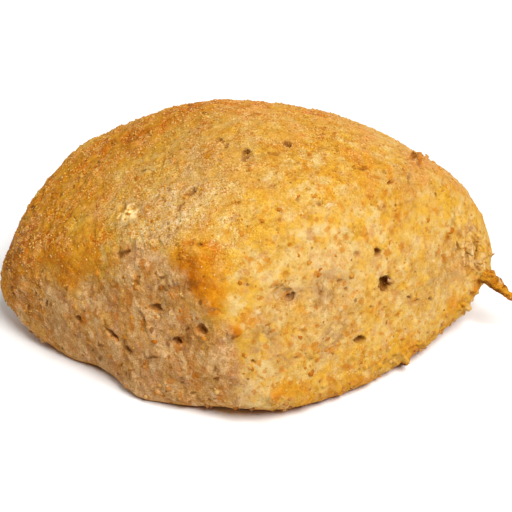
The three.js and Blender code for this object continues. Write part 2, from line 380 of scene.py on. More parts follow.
# Raised bits of dough, by the same rule
nubs = {
    "low nub": at((404.5, 357.5), (9, 8), height=1.6),
    "low nub, beside": at((395, 361), (8, 6), 30, height=0.7),
    "right nub": at((465, 305.5), (9, 9), height=1.5),
    "nub below the tail": at((474, 291), (8, 8), height=1.1),
    "burnt crumb, left": at((412.5, 156), (8, 8), 20, height=0.8),
    "burnt crumb, right": at((418.5, 157), (8, 9), height=1.0),
    "burnt crumb, low": at((415, 161), (8, 6), 30, height=0.6),
    "burnt crumb, apart": at((425, 160), (5, 6), height=0.9),
    "crumb before it": at((405, 149), (7, 5), height=0.45),
    "small low nub": at((423, 342), (7, 6), height=0.8),
    "tip rim nub": at((488, 253), (9, 9), height=0.6),
    "low face nub": at((156, 392.5), (9, 9), height=0.5),
    "near corner nub": at((272, 399), (12, 8), height=0.8),
    "ridge nub": at((239, 333), (8, 6), 20, height=0.5),
    "ridge nub, left": at((233, 338), (8, 5), 40, height=0.5),
    "ridge nub, outer": at((229, 333), (6, 4), height=0.35),
    "torn lip": at((150, 332), (36, 7), -60, height=0.55),
    "pale dough flap": at((127, 215), (17, 13), 10, height=0.55),
    "tan dough lump": at((143, 243), (30, 19), 20, height=0.5),
    "crown lump": at((205, 186), (22, 12), 20, height=0.45),
    "shoulder lump": at((92, 176), (24, 11), 30, height=0.45),
    "tip pleat, pale": at((471.5, 250), (32, 4.0), -86, height=0.5),
    "tip pleat, left": at((463, 257), (20, 3.6), -84, height=0.4),
    "tip pleat, outer": at((483, 248), (36, 7), -76, height=0.7),
    "tip strand": at((481, 265), (19, 3.2), -46, height=0.75),
}
# Rough fringe of small nubs along the lower right edge, drawn by rule
edgeFringe = {
    "line": [(262, 402), (300, 396), (345, 381), (385, 364), (405, 354), (440, 331), (465, 305), (479, 283)],
    "count": 44,
    "seed": 7,
    "size": (3.6, 7.0),
    "width": (0.6, 1.0),            # against the length
    "turn": (0, 180),
    "height": (0.2, 0.7),
    "inset": 8.0,
}
# Flecks and stains of the crust, and a few marks of painted shade and highlight, each kind with a mask of its
# own
crustMarks = {
    "bran": {
        "left shoulder": [
            at((60, 263), (15, 6)), at((78, 187), (12, 8), 20), at((55, 196), (12, 10), 40),
            at((123, 141), (10, 6), 20), at((190, 244), (10, 6)), at((112, 264), (9, 6)),
            at((101, 261), (11, 6)),
        ],
        "crown": [
            at((309, 154), (9, 6)), at((370, 197), (11, 5), -20), at((385, 193), (12, 6), 70),
            at((384, 206), (10, 5), 80), at((357, 161), (16, 9), -30), at((376, 177), (14, 5), -15),
            at((333, 136), (8, 6)), at((419, 159), (6, 6)),
        ],
        "left side": [
            at((142, 324), (14, 4), -80), at((135, 285), (20, 6), 86), at((92, 290), (12, 6)),
            at((201, 302), (8, 6), 80), at((170, 382), (12, 8)), at((54, 275), (14, 7)),
            at((115.5, 286), (8, 6)), at((117, 307.5), (9, 3), 86), at((149, 322), (6, 4)),
            at((190, 290.5), (13, 5)), at((217, 314), (7, 4)), at((140, 358), (5, 4)),
            at((195, 376), (8, 4)), at((156, 392.5), (9, 8)), at((221, 388.5), (9, 6)),
        ],
        "right side": [
            at((398, 216), (15, 8), 80), at((306, 218), (9, 5), -45), at((316, 240), (9, 7), -40),
            at((290, 245), (8, 7)), at((335, 236), (7, 6), 80), at((317, 220), (8, 5), 80),
            at((261, 289), (6, 5)), at((304, 330), (9, 5)), at((299, 355), (12, 9)),
            at((252, 321), (12, 8)), at((267, 347), (10, 8), 80), at((350, 367), (13, 8), 20),
            at((239, 332), (9, 6), 20), at((243.5, 321.5), (8, 7)), at((316, 307.5), (7, 8)),
            at((317, 326), (7, 5)), at((292.5, 336), (9, 5), -20), at((289.5, 343.5), (8, 4), 86),
            at((262, 352.5), (7, 5), 80), at((318.5, 360.5), (7, 6)), at((282, 370), (9, 6), 20),
            at((290.5, 383), (9, 7)), at((338, 346), (9, 4), 10), at((345, 366), (9, 8)),
            at((382, 333.5), (7, 6)), at((398, 331), (5, 4)), at((382.5, 310), (5, 4)),
            at((250, 369), (11, 4), -35), at((262, 378), (14, 4), -35), at((273, 387), (10, 4), -40),
        ],
        "tip and tail": [
            at((448, 238), (8, 6)), at((486, 248), (20, 4), -76), at((494, 281), (9, 6), -50),
        ],
    },
    "brown": {
        "left shoulder": [
            at((122, 255), (12, 6)), at((33, 207), (10, 6), 20), at((145, 170), (14, 3), 10),
        ],
        "crown": [
            at((363, 169), (9, 5), 10), at((391, 181), (9, 4), -15), at((436, 195), (10, 3), -55),
            at((413, 157), (7, 7)), at((205, 113), (9, 5)), at((222, 141), (12, 5)), at((287, 143), (9, 7)),
        ],
        "left side": [
            at((187, 330), (10, 4), 80), at((165, 289), (12, 5), -50), at((215, 368), (9, 5), 80),
            # the mark at (153, 357) is a painted shadow under a fold of torn dough
            at((153, 357), (18, 4)), at((68, 287), (12, 3), 80), at((140, 308), (6, 4), 80),
            at((101, 345.5), (8, 4), -20), at((162, 277), (9, 6)), at((200.5, 302), (8, 6), 80),
            at((218, 372.5), (9, 3), 85), at((192.5, 392.5), (8, 5)), at((182, 382), (7, 4)),
            at((215, 379), (6, 4)), at((121, 365), (7, 4), 80), at((100, 359), (8, 6), 80),
            at((156, 305), (12, 6)),
        ],
        "right side": [
            at((233, 336.5), (7, 5)), at((355, 299.5), (6, 4)), at((296, 357.5), (6, 4)),
            at((236.5, 337), (5, 4)),
        ],
        "tip and tail": [
            # painted shade: these marks lie in the tip's grooves and on the tail's lower side
            at((476.5, 252), (24, 2.6), -86), at((475, 265), (7, 3), -60), at((457.5, 245), (10, 2.6), -75),
            at((490, 284), (11, 5), -38), at((500, 291), (10, 6), -32),
        ],
    },
    "tan": {
        "right side": [
            at((313.5, 371), (9, 5)), at((321, 290), (24, 13)), at((300, 291), (14, 9)),
            at((266, 331), (14, 12)), at((335, 335), (13, 11)), at((284, 359), (12, 9)),
        ],
    },
    "pale": {
        "left shoulder": [at((127, 214), (25, 18), 20)],
    },
    "cream": {
        "left shoulder": [at((181, 217), (17, 9), 40)],
        "crown": [at((330, 205), (16, 8), 10)],
        "left side": [at((89, 301), (10, 8)), at((157, 315.5), (7, 5))],
        "right side": [
            at((345, 230), (18, 8), -20), at((318, 230), (16, 8)), at((258, 312), (10, 8)),
            at((257, 367), (13, 4), -30), at((312, 299), (10, 7)), at((275, 312), (14, 7)),
        ],
        "tip and tail": [
            # partly pale dough fibres, partly painted highlight on the tip's pleats and strand; the mark at
            # (500, 281) is a painted highlight along the tail's upper edge
            at((481, 265), (19, 3), -46), at((463, 257), (16, 2.6), -86), at((500, 281), (14, 3), -55),
            at((471.5, 248), (24, 3.4), -86),
        ],
    },
    "mauve": {
        "left shoulder": [
            at((191, 192), (11, 10)), at((180, 206), (9, 6), 70), at((151, 236), (12, 8), 80),
        ],
        "crown": [at((245, 156), (15, 11), 78), at((409, 176), (13, 5), 80)],
        "left side": [at((213, 309), (12, 6)), at((176, 284), (11, 9))],
        "right side": [at((311, 357.5), (8, 5)), at((257, 351), (9, 6))],
        "tip and tail": [at((470, 228), (9, 7))],
    },
}
tipPatch = at((472, 250), (46, 26), -86)    # its thin pleats need a finer mesh
poreRule = {
    "wobble": 0.45,                 # how ragged the mouths are
    "wobbleSize": 0.9 * mm,
    "bend": 1.4,                    # pixels that a mouth's line wanders
    "bendSize": 1.6 * mm,
    "lip": 0.12,                    # raised rim against the depth
    "lipDepth": 1.5,                # millimetres, a deeper pore has no higher rim
    "search": 1.2,                  # how far round a mouth the crust is looked at, against its length
    "searchMargin": 3 * mm,
    "hiddenSearch": 3,
    "outside": 99.0,                # stands for all that is further off
    "refineTo": 1.4,                # these count from 0 in the middle of a mouth to 1 at its rim
    "nub": (0.1, 1.1),
    "rimIn": (0.85, 1.1),
    "rimOut": (1.15, 1.6),
    "bowl": (0.45, 1.05),
    "shade": (0.6, 1.0),
    "stain": (0.0, 1.5),
    "normalPasses": 6,
}
# The sides that the photo doesn't show get pores of the same kinds, drawn by rule
hiddenPores = {
    "count": 46,
    "seed": 19,
    "bearing": (8.0, 196.0),        # degrees round the bun, 90 is away from the camera
    "height": (5.0, 40.0),
    "size": (0.8, 3.2),             # millimetres, most of them small
    "smallness": 2.5,
    "width": (0.45, 0.95),          # against the length
    "turn": (0, 180),
    "depth": (0.35, 0.75),          # against the length
    "dark": (0.5, 1.0),
    "startOut": 100 * mm,           # rays look inwards from here
}
bunMiddle = np.array((-4.0, -5.0, 0.0)) * mm
noiseStride = (17.3, 5.1, 9.7)      # how far apart the draws of one noise lie


def crustTree(mesh):
    return BVHTree.FromPolygons([Vector(s) for s in corners(mesh)], [p.vertices[:] for p in mesh.polygons])


def seenSpot(tree, pixel):          # where the photo's ray meets the crust
    start, way = photoRay(photoView, pixel)
    hit = tree.ray_cast(start, way)[0]
    if hit is None:
        hit = tree.find_nearest(start + way * photoView["distance"])[0]
    return np.array(hit)


def fieldNoise(spots, size, draw):
    shift = Vector([draw * stride for stride in noiseStride])
    return np.array([noise.noise(Vector(spot) / size + shift) for spot in spots])


def photoMouth(spots, mark, centre):    # 0 in the middle of a mouth, 1 at its rim, as the photo shows it
    length, width = mark["size"]
    away = np.linalg.norm(spots - centre, axis=1)
    near = away < poreRule["search"] * length * pixelSize + poreRule["searchMargin"]
    across = photoPixels(photoView, spots[near]) - np.array(mark["pixel"])
    bend = fieldNoise(spots[near], poreRule["bendSize"], draw=6) * poreRule["bend"]
    turn = math.radians(mark["turn"])
    along = across[:, 0] * math.cos(turn) - across[:, 1] * math.sin(turn)
    beside = across[:, 0] * math.sin(turn) + across[:, 1] * math.cos(turn) + bend
    reach = np.full(len(spots), poreRule["outside"])
    reach[near] = np.hypot(along / (length / 2), beside / (width / 2))
    return reach


def hiddenMouth(spots, mark, centre):   # the same, measured on the crust itself
    length, width = mark["size"]
    near = np.linalg.norm(spots - centre, axis=1) < poreRule["hiddenSearch"] * length * mm
    away = spots[near] - centre
    level = np.cross((0, 0, 1), mark["outward"])
    level /= np.linalg.norm(level)
    rise = np.cross(mark["outward"], level)
    turn = math.radians(mark["turn"])
    along = away @ (level * math.cos(turn) + rise * math.sin(turn))
    beside = away @ (rise * math.cos(turn) - level * math.sin(turn))
    reach = np.full(len(spots), poreRule["outside"])
    reach[near] = np.hypot(along / (length * mm / 2), beside / (width * mm / 2))
    return reach


def drawHiddenPores(tree, rule):
    draw = np.random.default_rng(rule["seed"])
    small, large = rule["size"]
    found = []
    for _ in range(rule["count"]):
        bearing = math.radians(draw.uniform(*rule["bearing"]))
        out = np.array((math.cos(bearing), math.sin(bearing), 0))
        start = bunMiddle + out * rule["startOut"]
        start[2] = draw.uniform(*rule["height"]) * mm
        hit, outward = tree.ray_cast(Vector(start), Vector(-out))[:2]
        length = small + (large - small) * draw.random() ** rule["smallness"]
        mark = {
            "size": (length, length * draw.uniform(*rule["width"])),
            "turn": draw.uniform(*rule["turn"]),
            "depth": length * draw.uniform(*rule["depth"]),
            "dark": draw.uniform(*rule["dark"]),
        }
        if hit is not None:
            mark["outward"] = np.array(outward)
            found.append((mark, hiddenMouth, np.array(hit)))
    return found


def fringeNubs(rule):
    draw = np.random.default_rng(rule["seed"])
    line = np.array(rule["line"], float)
    found = []
    for _ in range(rule["count"]):
        share = draw.random() * (len(line) - 1)
        first = int(share)
        pixel = line[first] + (line[first + 1] - line[first]) * (share - first)
        length = draw.uniform(*rule["size"])
        found.append({
            "pixel": tuple(pixel - (0, draw.random() * rule["inset"])),
            "size": (length, length * draw.uniform(*rule["width"])),
            "turn": draw.uniform(*rule["turn"]),
            "height": draw.uniform(*rule["height"]),
        })
    return found


def refineNear(mesh, marks):            # halves the edges around each mark
    spots = corners(mesh)
    near = np.zeros(len(spots), bool)
    for mark, mouth, centre in marks:
        near |= mouth(spots, mark, centre) < poreRule["refineTo"]
    refine = bmesh.new()
    refine.from_mesh(mesh)
    refine.verts.ensure_lookup_table()
    fineEdges = [e for e in refine.edges if near[e.verts[0].index] and near[e.verts[1].index]]
    bmesh.ops.subdivide_edges(refine, edges=fineEdges, cuts=1, use_grid_fill=True)
    refine.to_mesh(mesh)
    refine.free()
    mesh.update()


def openPores(mesh):
    tree = crustTree(mesh)

    def located(marks):                 # each mark with its measure and its place on the crust
        return [(mark, photoMouth, seenSpot(tree, mark["pixel"])) for mark in marks]

    mouths = located(pores.values()) + drawHiddenPores(tree, hiddenPores)
    lumps = located([*nubs.values(), *fringeNubs(edgeFringe)])
    stains = {kind: located(sum(areas.values(), [])) for kind, areas in crustMarks.items()}
    refineNear(mesh, located([tipPatch]))
    refineNear(mesh, mouths + lumps + sum(stains.values(), []))
    spots = corners(mesh)
    outward = easedNormals(mesh, poreRule["normalPasses"])
    ragged = 1 + fieldNoise(spots, poreRule["wobbleSize"], draw=3) * poreRule["wobble"]
    rise = np.zeros(len(spots))
    hollow = np.zeros(len(spots))
    for nub, mouth, centre in lumps:
        share = 1 - step(mouth(spots, nub, centre) * ragged, *poreRule["nub"])
        rise = np.maximum(rise, nub["height"] * mm * share)
    for pore, mouth, centre in mouths:
        reach = mouth(spots, pore, centre) * ragged
        ring = step(reach, *poreRule["rimIn"]) * (1 - step(reach, *poreRule["rimOut"]))
        rise = np.maximum(rise, ring * min(pore["depth"], poreRule["lipDepth"]) * poreRule["lip"] * mm)
    for pore, mouth, centre in mouths:
        reach = mouth(spots, pore, centre) * ragged
        rise = rise - pore["depth"] * mm * (1 - step(reach, *poreRule["bowl"]))
        hollow = np.maximum(hollow, pore["dark"] * (1 - step(reach, *poreRule["shade"])))
    for kind, marks in stains.items():
        shown = np.zeros(len(spots))
        for mark, mouth, centre in marks:
            shown = np.maximum(shown, 1 - step(mouth(spots, mark, centre) * ragged, *poreRule["stain"]))
        carry(mesh, kind, shown)
    moveCorners(mesh, spots + outward * rise[:, None])
    # painted shade inside the pores, carried on for the crust material
    carry(mesh, "hollow", hollow)


openPores(bunMesh)
print("pores opened,", len(bunMesh.vertices), "vertices")


# How the crust was baked, with painted shade in a few spots. Each spot is seen at a pixel of the photo and
# fades out over its reach in millimetres, and its shares raise or lower the masks of that name
def spot(pixel, reach, **shares):
    return {"pixel": pixel, "reach": reach * mm, "shares": shares}


bakedSpots = {
    "orange brow by the ridge": spot((206, 258), 5.0, browning=0.17, torn=-0.9, grey=-0.6, dust=0.2),
    "brow left of it": spot((184, 256), 4.4, browning=0.26, torn=-0.5, grey=-0.4),
    "shaded ridge, high": spot((193, 284), 3.2, browning=0.35, torn=-0.3),
    "orange ridge, middle": spot((210, 289), 4.6, browning=0.31, torn=-0.9, grey=-0.5),
    "orange ridge, low": spot((213, 316), 3.8, browning=0.32, torn=-0.4, grey=-0.3),
    "browned ridge crumb": spot((235, 335), 2.2, browning=0.5),
    "browned ridge, low": spot((240, 360), 3.2, browning=0.28),
    "browned near corner": spot((279, 394), 3.0, browning=0.4, dust=0.3),
    "left shoulder, high": spot((105, 148), 8, browning=0.16, grey=-0.4),
    "left shoulder, outer": spot((52, 188), 9, browning=0.16, grey=-0.7),
    "left shoulder, inner": spot((88, 196), 6, browning=0.12, grey=-0.5),
    "left shoulder, low": spot((50, 244), 7, browning=0.25, grey=-0.7, torn=-0.8, dust=0.4),
    "yellow shoulder patch": spot((76, 224), 4, browning=-0.18),
    "left brow": spot((94, 258), 6.5, browning=0.34, grey=-0.9, torn=-0.9, dust=0.3),
    "below the left brow": spot((70, 276), 5, browning=0.3, grey=-0.3, torn=-0.4),
    # partly browner crust, partly painted shade where the top edge turns away from the light
    "top edge": spot((190, 106), 7, browning=0.46, grey=-0.4),
    "pale right side, mid": spot((340, 294), 9, browning=-0.1, grey=0.5),
    "smooth yellow crown, right": spot((305, 190), 9, browning=-0.03, dust=-0.7),
    "smooth yellow crown, near": spot((262, 212), 6, dust=-0.6),
    "browned left of the ridge": spot((177, 266), 4, browning=0.14, grey=-0.3),
    "floury middle, near": spot((180, 217), 3.5, browning=-0.14, grey=0.3),
    # the same along the rest of the top edge: partly browner crust, partly painted shade
    "top edge, right": spot((250, 105), 6, browning=0.24, grey=-0.2),
    "top edge, far": spot((312, 113), 6, browning=0.2, grey=-0.2),
    "upper left edge": spot((125, 124), 7, browning=0.38, grey=-0.3),
    "floury crown": spot((205, 150), 5.5, browning=-0.06, grey=0.25),
    # the left tip's browning is partly browner crust, partly painted shade
    "left tip": spot((8, 262), 11, browning=0.76, grey=0.1, torn=-0.4, dust=0.8, crag=0.6),
    "floury middle": spot((186, 204), 8, browning=-0.16, grey=0.9),
    "floury middle, lower": spot((160, 222), 6.5, browning=-0.2, grey=0.8),
    "pale middle": spot((122, 206), 4.5, browning=-0.16, grey=0.2),
    "pale bare dough": spot((127, 215), 2.4, browning=-0.8, grey=0.4, dust=-1),
    "smooth yellow crust": spot((146, 158), 2.6, browning=-0.1, grey=-0.4, dust=-0.8),
    "yellow shoulder": spot((245, 235), 8, browning=-0.08, grey=-0.5),
    "golden right crown": spot((345, 155), 10, browning=0.05, grey=-0.5),
    "dull right crown": spot((408, 178), 4, dull=0.5),
    "right crown streak": spot((396, 206), 4.0, browning=0.16),
    "right crown edge": spot((448, 188), 4.0, browning=0.08, grey=-0.4),
    "pale right side": spot((322, 225), 8, browning=-0.08),
    "pale right side, low": spot((318, 268), 5, browning=-0.12, grey=0.3),
    "dull right side, low": spot((330, 325), 11, browning=0.06, grey=0.2, dull=0.3, crag=0.8),
    "dull right side, far": spot((425, 285), 9, browning=0.12, grey=0.2, dull=0.35, crag=0.8),
    "dull foot of the tip": spot((453, 275), 4.5, dull=0.6),
    "pleated tip": spot((466, 254), 6, browning=0.2, grey=0.7, crag=0.7, pleated=1),
    "pleats under the tip": spot((455, 245), 6, pleated=0.5),
    "right crumb": spot((416, 158), 1.8, browning=0.42, crag=1),
    "grey dish": spot((280, 297), 3.6, grey=1, dull=0.2),
    "grey low side": spot((265, 332), 3.2, dull=0.9),
    "grey low side, right": spot((335, 335), 3.4, dull=0.9),
    "grey low side, near": spot((284, 358), 3.0, dull=0.8),
    "grey wrinkles": spot((325, 288), 4.0, dull=0.9),
    "orange low edge, near": spot((305, 392), 4.5, browning=0.2, grey=-0.5, dust=0.3),
    "orange low edge, middle": spot((357, 374), 5, browning=0.23, grey=-0.7, dust=0.3),
    "orange low edge, right": spot((410, 345), 5, browning=0.25, grey=-0.7, dust=0.3),
    "orange low edge, far": spot((456, 308), 4, browning=0.28, grey=-0.5),
    "pale crumb by the tear": spot((157, 333), 2.6, grey=0.7),
    # the dull shares along the low left edge are painted shade
    "pale low left edge": spot((150, 386), 7, grey=0.45, dull=0.4),
    "pale low left edge, outer": spot((62, 334), 6, grey=0.2, dull=0.7),
    "shaded low left edge": spot((102, 356), 4, dull=0.6),
    "pale strip under the ridge": spot((248, 394), 4, browning=-0.2, grey=0.9, torn=-0.6),
}
bakedRule = {
    "side": 0.22,                   # browning of the cut sides
    "top": 0.44,
    "topFacing": (0.3, 0.72),       # upward part of the normal, where the top crust starts and is full
    "topGrey": 0.3,
    "base": 0.75,
    "baseFacing": (0.6, 0.9),
    "broadPasses": 60,              # evens the normals out to the bun's large form
    "leastLevel": 0.01,
    "lowEdge": 0.2,
    "lowEdgeHeight": 8 * mm,
    "rim": 0.25,                    # darker line along the foot of the left front side
    "rimHeight": (1.8 * mm, 0.3 * mm),
    "rimFacing": (0.1, 0.6),
    "clearOfTray": (0.2 * mm, 2.2 * mm),
    "wander": 0.2,                  # how far noise shifts the browning
    "wanderSize": 7 * mm,
    "wanderFine": 2.7,              # a second noise is this much finer
    "wanderFineShare": 0.5,
    "wanderGrey": 0.25,
    "wanderBase": 0.15,
    "wanderSpots": 0.35,
    "tailRoot": (490, 280),         # pixels of the tail's line
    "tailEnd": (509, 296),
    "tailRunOn": 1.6,               # it runs on past the photo
    "tailReach": (2.0 * mm, 3.0 * mm),
    "tornBearing": 240.0,           # the torn left front side looks this way
    "tornFacing": (0.70, 0.98),
    "tornFacingWander": 0.12,
    "tornUp": (0.3, 0.7),
    "tornUpWander": 0.1,
    "dustFrom": 8 * mm,             # the dusting thins out to the right
    "dustTo": 38 * mm,
    "dustLost": 0.75,
    "cragTorn": 0.7,                # how craggy the torn side, the low edge and the dusted top are
    "cragLowEdge": 0.8,
    "cragDust": 0.7,
    "most": 0.9,                    # spots brown the crust no further
    "tail": 0.3,                    # browning added to the tail and to crumbs, and painted shade in the tip's grooves
    "raised": 0.12,
    "groove": 0.45,
    "limit": 1.1,
}


def tailMask(spots, tree):          # how near a point is to the tail's line
    root = seenSpot(tree, bakedRule["tailRoot"])
    line = (seenSpot(tree, bakedRule["tailEnd"]) - root) * bakedRule["tailRunOn"]
    along = np.clip((spots - root) @ line / (line @ line), 0, 1)
    away = np.linalg.norm(spots - root - along[:, None] * line, axis=1)
    return 1 - step(away, *bakedRule["tailReach"])


def bakeMasks(mesh, rule):
    spots = corners(mesh)
    height = spots[:, 2]
    broad = easedNormals(mesh, rule["broadPasses"])
    up = broad[:, 2]
    top = step(up, *rule["topFacing"])
    base = step(-up, *rule["baseFacing"])
    wander = fieldNoise(spots, rule["wanderSize"], draw=1)
    finer = fieldNoise(spots, rule["wanderSize"] / rule["wanderFine"], draw=2)
    wander = wander + rule["wanderFineShare"] * finer
    bearing = math.radians(rule["tornBearing"])
    level = np.maximum(np.linalg.norm(broad[:, :2], axis=1), rule["leastLevel"])[:, None]
    facing = broad[:, :2] / level @ np.array((math.cos(bearing), math.sin(bearing)))
    lowEdge = step(-height, -rule["lowEdgeHeight"], 0) * (1 - base)
    rimFrom, rimFull = rule["rimHeight"]
    rim = step(-height, -rimFrom, -rimFull) * step(facing, *rule["rimFacing"])
    torn = step(facing + rule["tornFacingWander"] * wander, *rule["tornFacing"]) * (1 - base)
    torn = torn * (1 - step(up + rule["tornUpWander"] * wander, *rule["tornUp"]))
    dust = top * (1 - rule["dustLost"] * step(spots[:, 0], rule["dustFrom"], rule["dustTo"]))
    browning = rule["side"] + (rule["top"] - rule["side"]) * top + rule["wander"] * wander
    masks = {
        "browning": browning + rule["lowEdge"] * lowEdge * (1 - torn),
        "grey": rule["topGrey"] * top + rule["wanderGrey"] * wander,
        "torn": torn,
        "dust": dust,
        "crag": rule["cragTorn"] * torn + rule["cragLowEdge"] * lowEdge + rule["cragDust"] * dust,
        "pleated": np.zeros(len(spots)),
        "dull": np.zeros(len(spots)),
    }
    tree = crustTree(mesh)
    for baked in bakedSpots.values():
        away = np.linalg.norm(spots - seenSpot(tree, baked["pixel"]), axis=1) / baked["reach"]
        share = np.exp(-(away * (1 + rule["wanderSpots"] * wander)) ** 2)
        for name, strength in baked["shares"].items():
            masks[name] = masks[name] + share * strength
    tail = tailMask(spots, tree)
    browning = np.minimum(masks.pop("browning"), rule["most"]) + rule["rim"] * rim + rule["tail"] * tail
    # raised crumbs brown further; the tip's grooves get painted shade
    for name in ("raised", "groove"):
        browning = browning + rule[name] * carried(mesh, name)
    browning = browning * (1 - base) + (rule["base"] + rule["wanderBase"] * wander) * base
    carry(mesh, "browning", np.clip(browning, 0, rule["limit"]))
    carry(mesh, "clearOfTray", step(height, *rule["clearOfTray"]))
    carry(mesh, "topCrust", top)
    carry(mesh, "tail", tail)
    masks["crag"] = masks["crag"] + tail
    kept = {"grey": (1 - base) * (1 - tail), "torn": 1 - tail, "pleated": 1 - tail, "dust": 1 - base,
            "crag": 1 - base, "dull": 1}
    for name, mask in masks.items():
        carry(mesh, name, np.clip(mask, 0, 1) * kept[name])


bakeMasks(bunMesh, bakedRule)
print("baked masks carried by", len(bunMesh.attributes), "attributes")


# Fine relief of the crust, worked out on the surface by geometry nodes
crustRelief = {
    "Grain Size": 1.3 * mm,
    "Grain Height": 0.4 * mm,
    "Lump Size": 3.0 * mm,
    "Lump Height": 0.8 * mm,
    "Pit Spacing": 3.2 * mm,
    "Pit Radius": 0.4 * mm,
    "Pit Depth": 0.4 * mm,
    "Edge Size": 2.08 * mm,
    "Edge Height": 0.6 * mm,
    "Clump Size": 1.9 * mm,
    "Clump Height": 0.34 * mm,
    "Clump Warp": 3.0 * mm,
    "Crease Size": 3.4 * mm,
    "Crease Depth": 0.25 * mm,
    "Fold Size": 7.48 * mm,         # creases show in patches of this size
    "Line Warp": 2.0 * mm,
    "Pleat Size": 1.3 * mm,
    "Pleat Height": 0.6 * mm,
    "Tail Swell": 0.4 * mm,
    "Bald Size": 4.4 * mm,          # patches of the top crust without dusting
}
reliefRule = {
    "pit": (1.0, 0.3),              # where each form starts and is full, in its noise or distance
    "pitChance": (0.6, 0.7),
    "clump": (0.7, 0.1),
    "fold": (0.4, 0.6),
    "crease": (0.045, 0.0),
    "bald": (0.5, 0.57),
    "craggyLumps": 0.3,
    "craggyClumps": 0.8,
    "topPitsLost": 0.7,
    "pleatStretch": (1, 1, 0.22),   # pleats run upright
}


def nodeTree(name, sizes):          # a geometry tree with one named input for each size
    tree = bpy.data.node_groups.new(name, "GeometryNodeTree")
    tree.interface.new_socket("Geometry", in_out="INPUT", socket_type="NodeSocketGeometry")
    tree.interface.new_socket("Geometry", in_out="OUTPUT", socket_type="NodeSocketGeometry")
    for label, value in sizes.items():
        kind = "NodeSocketInt" if isinstance(value, int) else "NodeSocketFloat"
        tree.interface.new_socket(label, in_out="INPUT", socket_type=kind)
    board = Board(tree)
    entry = tree.nodes.new("NodeGroupInput")
    inputs = {s.name: Wire(board, s) for s in entry.outputs if s.name}
    return tree, board, inputs


def runTree(holder, tree, sizes):
    modifier = holder.modifiers.new(tree.name, "NODES")
    modifier.node_group = tree
    for item in tree.interface.items_tree:
        if item.item_type == "SOCKET" and item.in_out == "INPUT" and item.name in sizes:
            modifier[item.identifier] = sizes[item.name]
    mesh = toMesh(holder)
    holder.modifiers.remove(modifier)
    return mesh


def reliefTree(sizes, rule, material):
    tree, board, inputs = nodeTree("crust_relief", sizes)
    here = board.add("GeometryNodeInputPosition")
    outward = board.add("GeometryNodeInputNormal")
    crag = board.named("crag")
    clear = board.named("clearOfTray")
    tail = board.named("tail")
    bare = (1 - tail) * clear

    def bumps(form, detail, roughness=0.5, over=here):      # noise about zero
        return board.grainNoise(over, inputs[form + " Size"], detail, roughness) - 0.5

    def cells(size, out, over=here):
        return board.add("ShaderNodeTexVoronoi", None, {"Vector": over, "Scale": 1 / size}, out)

    def warped(size, reach):        # place shifted by noise, so that cells and lines lose their rule
        sockets = {"Vector": here, "Scale": 1 / size, "Detail": 2.0}
        drift = board.add("ShaderNodeTexNoise", None, sockets, "Color")
        sockets = {"Vector": drift, "Vector_001": reach, "Vector_002": here}
        return board.add("ShaderNodeVectorMath", {"operation": "MULTIPLY_ADD"}, sockets)

    grain = bumps("Grain", 3.0, 0.6) * inputs["Grain Height"] * (1 + crag)
    lump = bumps("Lump", 2.0) * inputs["Lump Height"] * (1 + rule["craggyLumps"] * crag)
    rough = bumps("Edge", 2.0) * inputs["Edge Height"] * crag
    pitAway = cells(inputs["Pit Spacing"], "Distance") * inputs["Pit Spacing"] / inputs["Pit Radius"]
    chance = board.add("ShaderNodeSeparateXYZ", None, {"Vector": cells(inputs["Pit Spacing"], "Color")}, "X")
    pit = pitAway.ease(*rule["pit"]) * chance.ease(*rule["pitChance"]) * bare
    pit = pit * (1 - rule["topPitsLost"] * board.named("topCrust"))
    clumpPlace = warped(inputs["Clump Size"], inputs["Clump Warp"])
    clump = cells(inputs["Clump Size"], "Distance", clumpPlace).ease(*rule["clump"])
    clumpShare = 1 - rule["craggyClumps"] + rule["craggyClumps"] * crag
    line = bumps("Crease", 1.0, over=warped(inputs["Crease Size"], inputs["Line Warp"]))
    folded = board.grainNoise(here, inputs["Fold Size"], 1.0).ease(*rule["fold"]) * bare
    crease = line.most(0 - line).ease(*rule["crease"]) * folded
    sockets = {"Vector": here, "Vector_001": rule["pleatStretch"]}
    drawn = board.add("ShaderNodeVectorMath", {"operation": "MULTIPLY"}, sockets)
    pleat = bumps("Pleat", 1.0, over=drawn) * board.named("pleated")
    baldPlace = warped(inputs["Bald Size"], inputs["Line Warp"])
    bald = board.grainNoise(baldPlace, inputs["Bald Size"], 3.0, 0.6).ease(*rule["bald"])
    swell = (clump - 0.5) * inputs["Clump Height"] * clumpShare - crease * inputs["Crease Depth"]
    swell = swell + tail * inputs["Tail Swell"] + pleat * inputs["Pleat Height"]
    height = (grain + lump + rough + swell) * clear - pit * inputs["Pit Depth"]
    shaped = inputs["Geometry"]
    # pit, clump, crease and pleat also drive painted shade and light in the crust material
    for label, mask in {"pit": pit, "clump": clump, "crease": crease, "pleat": pleat, "bald": bald}.items():
        sockets = {"Geometry": shaped, "Name": label, "Value": mask}
        shaped = board.add("GeometryNodeStoreNamedAttribute", {"data_type": "FLOAT"}, sockets)
    move = board.add("ShaderNodeVectorMath", {"operation": "SCALE"}, {"Vector": outward, "Scale": height})
    shaped = board.add("GeometryNodeSetPosition", None, {"Geometry": shaped, "Offset": move})
    shaped = board.add("GeometryNodeSetMaterial", None, {"Geometry": shaped, "Material": material})
    board.add("NodeGroupOutput", None, {"Geometry": shaped})
    return tree
